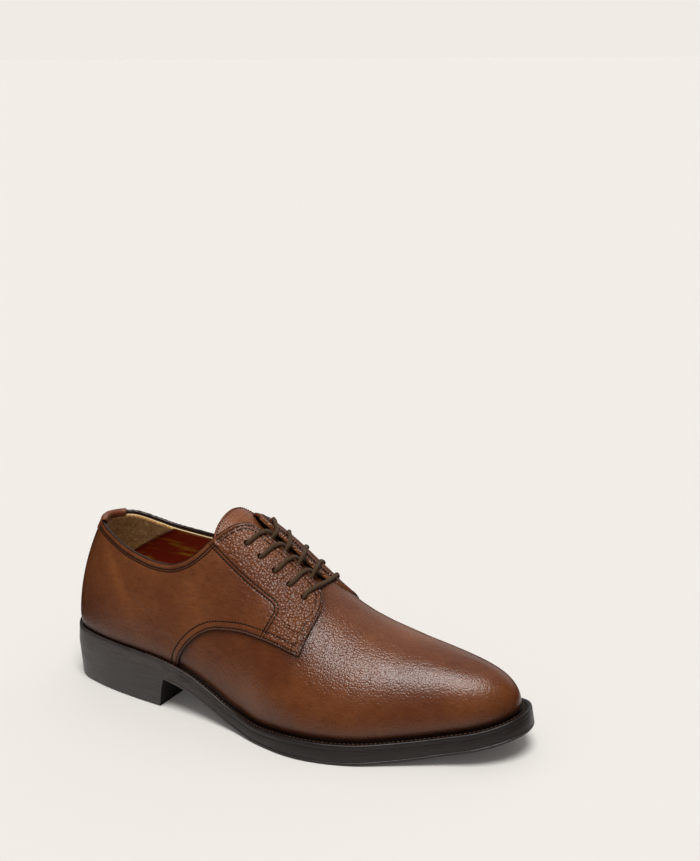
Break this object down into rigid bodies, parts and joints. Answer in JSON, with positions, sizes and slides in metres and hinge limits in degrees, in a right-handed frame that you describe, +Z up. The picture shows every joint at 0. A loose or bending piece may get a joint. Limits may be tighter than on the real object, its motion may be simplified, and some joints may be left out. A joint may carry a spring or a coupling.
{
  "type": "lace-up dress shoe",
  "caption": "Plain-toe derby shoe in grained brown leather with open lacing, a stitched welt, a leather sole and a stacked heel block.",
  "frame": {"origin": "middle of the heel's floor face, 40 mm in front of the back of the heel, on the floor", "axes": "+X along the shoe to the toe, +Y to the inner side of the foot, +Z up"},
  "size_m": [0.303, 0.1086, 0.1169],
  "materials": {
    "upper_leather": "pebble grain, semi-gloss",
    "tongue_leather": "grained, satin",
    "back_tab_leather": "satin",
    "outsole_leather": "stained edge, satin",
    "welt_leather": "stained edge, satin",
    "heel_block": "satin",
    "insole_leather": "matt",
    "lace_cord": "waxed round braid"
  },
  "bodies": {
    "root": {"outsole": "outsole_leather", "welt": "welt_leather", "heel": "heel_block", "insole": "insole_leather", "upper": "upper_leather", "tongue": "tongue_leather", "back_tab": "back_tab_leather", "lace_bar": "lace_cord", "lace_cross_1": "lace_cord", "lace_cross_2": "lace_cord", "lace_cross_3": "lace_cord", "lace_cross_4": "lace_cord"}
  },
  "joints": []
}
